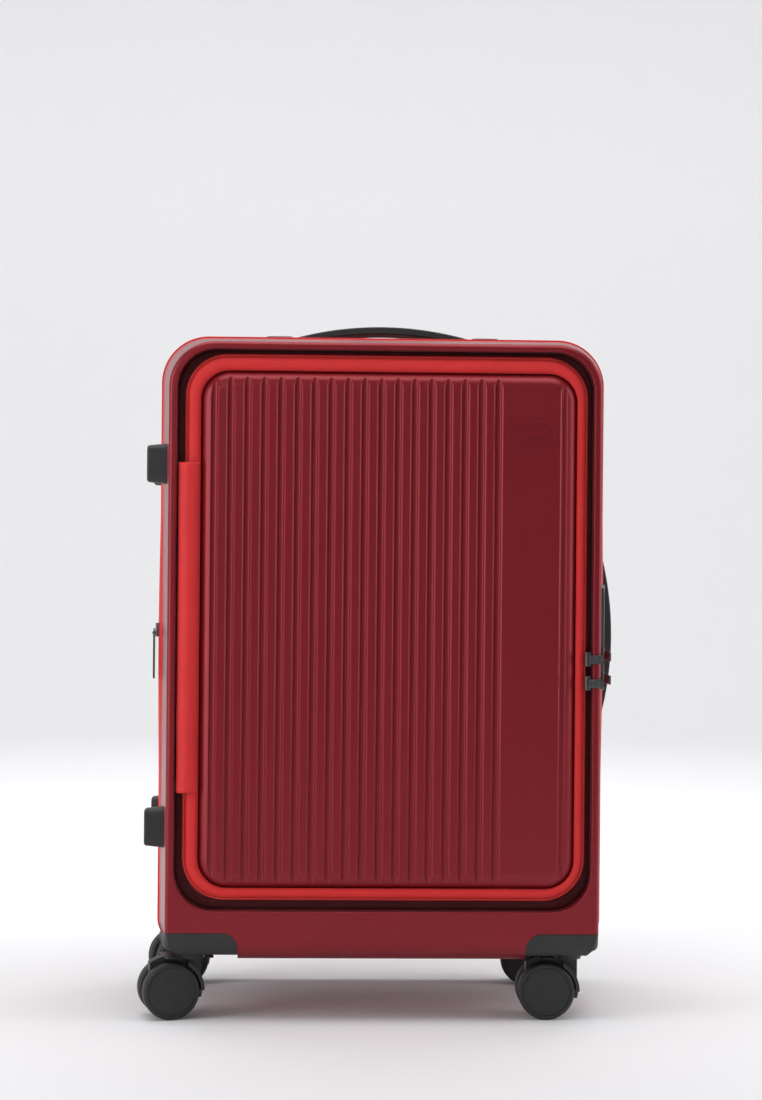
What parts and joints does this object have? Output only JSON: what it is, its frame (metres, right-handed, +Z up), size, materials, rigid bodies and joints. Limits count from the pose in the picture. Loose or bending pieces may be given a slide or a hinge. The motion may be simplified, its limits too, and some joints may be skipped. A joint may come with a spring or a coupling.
{
  "type": "upright suitcase with a front door",
  "caption": "Hard-shell upright suitcase with a zipped grooved front door, side lock, carry handles, pull-out handle and twin-wheel casters.",
  "frame": {"origin": "on the floor under the middle of the case's bounding box", "axes": "+Z up, -Y towards the door side, +X towards the lock side"},
  "size_m": [0.4948, 0.2775, 0.7119],
  "materials": {
    "shell": "satin pearl",
    "zipper_cloth": "woven",
    "black_plastic": "fine texture",
    "wheel_rubber": "matt",
    "dark_metal": "gunmetal",
    "lining_cloth": "woven",
    "bright_metal": "satin",
    "tube_aluminium": "satin"
  },
  "bodies": {
    "rear_half": {"rear_shell": "shell", "rear_lining": "lining_cloth", "trolley_cover_board": "lining_cloth", "main_zipper_tape": "zipper_cloth", "handle_mounts": "black_plastic", "rear_side_feet": "black_plastic", "trolley_bezel": "black_plastic", "trolley_outer_tubes": "tube_aluminium", "trolley_foot_bracket": "black_plastic", "rear_left_wheel_housing": "black_plastic", "rear_right_wheel_housing": "black_plastic", "rear_housing_screws": "bright_metal"},
    "front_half": {"front_shell": "shell", "front_lining": "lining_cloth", "compartment_divider": "lining_cloth", "door_zipper_tape": "zipper_cloth", "door_hinge_flap": "zipper_cloth", "expansion_band": "zipper_cloth", "front_side_feet": "black_plastic", "lock_case": "dark_metal", "lock_bezel": "dark_metal", "front_left_wheel_housing": "black_plastic", "front_right_wheel_housing": "black_plastic", "front_housing_screws": "bright_metal"},
    "door": {"front_door": "shell", "door_lining": "lining_cloth", "door_gusset": "zipper_cloth"},
    "trolley_middle": {"trolley_middle_tubes": "tube_aluminium"},
    "trolley_inner": {"trolley_inner_tubes": "tube_aluminium", "trolley_grip": "black_plastic"},
    "trolley_release": {"trolley_button": "black_plastic"},
    "top_handle": {"top_handle_grip": "black_plastic"},
    "side_handle": {"side_handle_grip": "black_plastic"},
    "dial_1": {"lock_dial_1": "dark_metal"},
    "dial_2": {"lock_dial_2": "dark_metal"},
    "dial_3": {"lock_dial_3": "dark_metal"},
    "lock_catch": {"lock_release": "dark_metal"},
    "lock_key": {"lock_key_cylinder": "dark_metal"},
    "door_zip_upper": {"door_slider_upper": "dark_metal"},
    "door_zip_lower": {"door_slider_lower": "dark_metal"},
    "main_zip_upper": {"main_slider_upper": "dark_metal"},
    "main_zip_lower": {"main_slider_lower": "dark_metal"},
    "expansion_zip": {"expansion_slider": "dark_metal"},
    "expansion_zip_pull": {"expansion_pull": "dark_metal"},
    "front_left_caster": {"front_left_fork": "black_plastic", "front_left_caster_pins": "bright_metal"},
    "front_left_near": {"front_left_near_wheel": "wheel_rubber"},
    "front_left_far": {"front_left_far_wheel": "wheel_rubber"},
    "front_right_caster": {"front_right_fork": "black_plastic", "front_right_caster_pins": "bright_metal"},
    "front_right_near": {"front_right_near_wheel": "wheel_rubber"},
    "front_right_far": {"front_right_far_wheel": "wheel_rubber"},
    "rear_left_caster": {"rear_left_fork": "black_plastic", "rear_left_caster_pins": "bright_metal"},
    "rear_left_near": {"rear_left_near_wheel": "wheel_rubber"},
    "rear_left_far": {"rear_left_far_wheel": "wheel_rubber"},
    "rear_right_caster": {"rear_right_fork": "black_plastic", "rear_right_caster_pins": "bright_metal"},
    "rear_right_near": {"rear_right_near_wheel": "wheel_rubber"},
    "rear_right_far": {"rear_right_far_wheel": "wheel_rubber"}
  },
  "joints": [
    {"name": "case_hinge", "type": "hinge", "parent": "rear_half", "child": "front_half", "pos_m": [-0.242, -0.026, 0.377], "axis": [0, 0, -1], "range_deg": [0, 180]},
    {"name": "door_hinge", "type": "hinge", "parent": "front_half", "child": "door", "pos_m": [-0.2, -0.139, 0.3945], "axis": [0, 0, -1], "range_deg": [0, 130]},
    {"name": "handle_lower_stage", "type": "slide", "parent": "rear_half", "child": "trolley_middle", "axis": [0, 0, 1], "range_m": [0, 0.2]},
    {"name": "handle_upper_stage", "type": "slide", "parent": "trolley_middle", "child": "trolley_inner", "axis": [0, 0, 1], "range_m": [0, 0.2]},
    {"name": "handle_button", "type": "slide", "parent": "trolley_inner", "child": "trolley_release", "axis": [0, 0, -1], "range_m": [0, 0.003]},
    {"name": "top_handle_lift", "type": "slide", "parent": "rear_half", "child": "top_handle", "axis": [0, 0.0616, 0.9981], "range_m": [0, 0.012]},
    {"name": "side_handle_lift", "type": "slide", "parent": "rear_half", "child": "side_handle", "axis": [0.9981, 0.0616, 0], "range_m": [0, 0.012]},
    {"name": "lock_catch_slide", "type": "slide", "parent": "front_half", "child": "lock_catch", "axis": [0, 0, 1], "range_m": [0, 0.004]},
    {"name": "lock_key_turn", "type": "hinge", "parent": "front_half", "child": "lock_key", "pos_m": [0.22225, -0.092, 0.374], "axis": [0.9933, -0.1159, 0], "range_deg": [0, 90]},
    {"name": "door_zip_upper_slide", "type": "slide", "parent": "front_half", "child": "door_zip_upper", "axis": [0, 0, 1], "range_m": [0, 0.25]},
    {"name": "door_zip_lower_slide", "type": "slide", "parent": "front_half", "child": "door_zip_lower", "axis": [0, 0, -1], "range_m": [0, 0.17]},
    {"name": "main_zip_upper_slide", "type": "slide", "parent": "rear_half", "child": "main_zip_upper", "axis": [0, 0, 1], "range_m": [0, 0.25]},
    {"name": "main_zip_lower_slide", "type": "slide", "parent": "rear_half", "child": "main_zip_lower", "axis": [0, 0, -1], "range_m": [0, 0.17]},
    {"name": "expansion_zip_slide", "type": "slide", "parent": "front_half", "child": "expansion_zip", "axis": [0, 0, 1], "range_m": [-0.2, 0.2]},
    {"name": "expansion_pull_swing", "type": "hinge", "parent": "expansion_zip", "child": "expansion_zip_pull", "pos_m": [-0.2364, -0.036, 0.3906], "axis": [0, 1, 0], "range_deg": [0, 15]},
    {"name": "dial_1_turn", "type": "hinge", "parent": "front_half", "child": "dial_1", "pos_m": [0.21778, -0.09148, 0.39], "axis": [0, 0, 1], "continuous": true},
    {"name": "dial_2_turn", "type": "hinge", "parent": "front_half", "child": "dial_2", "pos_m": [0.21778, -0.09148, 0.398], "axis": [0, 0, 1], "continuous": true},
    {"name": "dial_3_turn", "type": "hinge", "parent": "front_half", "child": "dial_3", "pos_m": [0.21778, -0.09148, 0.406], "axis": [0, 0, 1], "continuous": true},
    {"name": "front_left_swivel", "type": "hinge", "parent": "front_half", "child": "front_left_caster", "pos_m": [-0.192, -0.091, 0.068], "axis": [0, 0, 1], "continuous": true},
    {"name": "front_left_near_spin", "type": "hinge", "parent": "front_left_caster", "child": "front_left_near", "pos_m": [-0.21529, -0.09681, 0.02875], "axis": [-0.2419, 0.9703, 0], "continuous": true},
    {"name": "front_left_far_spin", "type": "hinge", "parent": "front_left_caster", "child": "front_left_far", "pos_m": [-0.21529, -0.09681, 0.02875], "axis": [-0.2419, 0.9703, 0], "continuous": true},
    {"name": "front_right_swivel", "type": "hinge", "parent": "front_half", "child": "front_right_caster", "pos_m": [0.192, -0.091, 0.068], "axis": [0, 0, 1], "continuous": true},
    {"name": "front_right_near_spin", "type": "hinge", "parent": "front_right_caster", "child": "front_right_near", "pos_m": [0.168, -0.091, 0.02875], "axis": [0, 1, 0], "continuous": true},
    {"name": "front_right_far_spin", "type": "hinge", "parent": "front_right_caster", "child": "front_right_far", "pos_m": [0.168, -0.091, 0.02875], "axis": [0, 1, 0], "continuous": true},
    {"name": "rear_left_swivel", "type": "hinge", "parent": "rear_half", "child": "rear_left_caster", "pos_m": [-0.192, 0.091, 0.068], "axis": [0, 0, 1], "continuous": true},
    {"name": "rear_left_near_spin", "type": "hinge", "parent": "rear_left_caster", "child": "rear_left_near", "pos_m": [-0.21455, 0.08279, 0.02875], "axis": [-0.342, 0.9397, 0], "continuous": true},
    {"name": "rear_left_far_spin", "type": "hinge", "parent": "rear_left_caster", "child": "rear_left_far", "pos_m": [-0.21455, 0.08279, 0.02875], "axis": [-0.342, 0.9397, 0], "continuous": true},
    {"name": "rear_right_swivel", "type": "hinge", "parent": "rear_half", "child": "rear_right_caster", "pos_m": [0.192, 0.091, 0.068], "axis": [0, 0, 1], "continuous": true},
    {"name": "rear_right_near_spin", "type": "hinge", "parent": "rear_right_caster", "child": "rear_right_near", "pos_m": [0.16823, 0.09434, 0.02875], "axis": [0.1392, 0.9903, 0], "continuous": true},
    {"name": "rear_right_far_spin", "type": "hinge", "parent": "rear_right_caster", "child": "rear_right_far", "pos_m": [0.16823, 0.09434, 0.02875], "axis": [0.1392, 0.9903, 0], "continuous": true}
  ]
}
